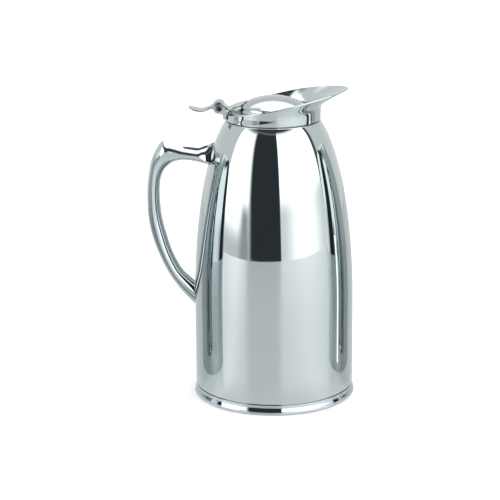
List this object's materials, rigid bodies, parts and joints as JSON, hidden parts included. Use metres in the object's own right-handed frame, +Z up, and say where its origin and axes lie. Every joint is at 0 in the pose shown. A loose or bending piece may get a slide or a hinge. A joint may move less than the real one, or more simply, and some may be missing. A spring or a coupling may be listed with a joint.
{
  "type": "insulated jug",
  "caption": "Tall tapering insulated steel jug with a flared pouring collar, a looped side handle with thumb horn and a hinged domed lid with thumb lever.",
  "frame": {"origin": "on the jug's axis, in the plane of the flat base that it stands on", "axes": "+Z up along the jug's axis, +X towards the spout, handle and hinge at -X"},
  "size_m": [0.1595, 0.125, 0.2406],
  "materials": {
    "body_steel": "mirror-polished stainless steel",
    "foot_steel": "mirror-polished stainless steel",
    "collar_steel": "mirror-polished stainless steel",
    "handle_steel": "polished cast stainless steel",
    "hinge_steel": "polished stainless steel",
    "lever_steel": "polished cast stainless steel",
    "lid_steel": "mirror-polished stainless steel",
    "inner_steel": "satin stainless steel",
    "base_steel": "circular brushed stainless steel",
    "silicone": "matt translucent silicone",
    "copper": "dull annealed copper"
  },
  "bodies": {
    "root": {"outer_shell": "body_steel", "foot_ring": "foot_steel", "spout_collar": "collar_steel", "handle": "handle_steel", "hinge_bracket": "hinge_steel", "hinge_pin": "hinge_steel", "inner_flask": "inner_steel", "neck_ring": "inner_steel", "outer_bottom": "inner_steel", "base_cover": "base_steel", "getter_can": "inner_steel", "pinch_off_tube": "copper"},
    "lid": {"lid_top": "lid_steel", "lid_liner": "inner_steel", "lid_gasket": "silicone", "lid_lever": "lever_steel"}
  },
  "joints": [
    {"name": "lid_hinge", "type": "hinge", "parent": "root", "child": "lid", "pos_m": [-0.0407, 0, 0.2262], "axis": [0, -1, 0], "range_deg": [0, 75]}
  ]
}
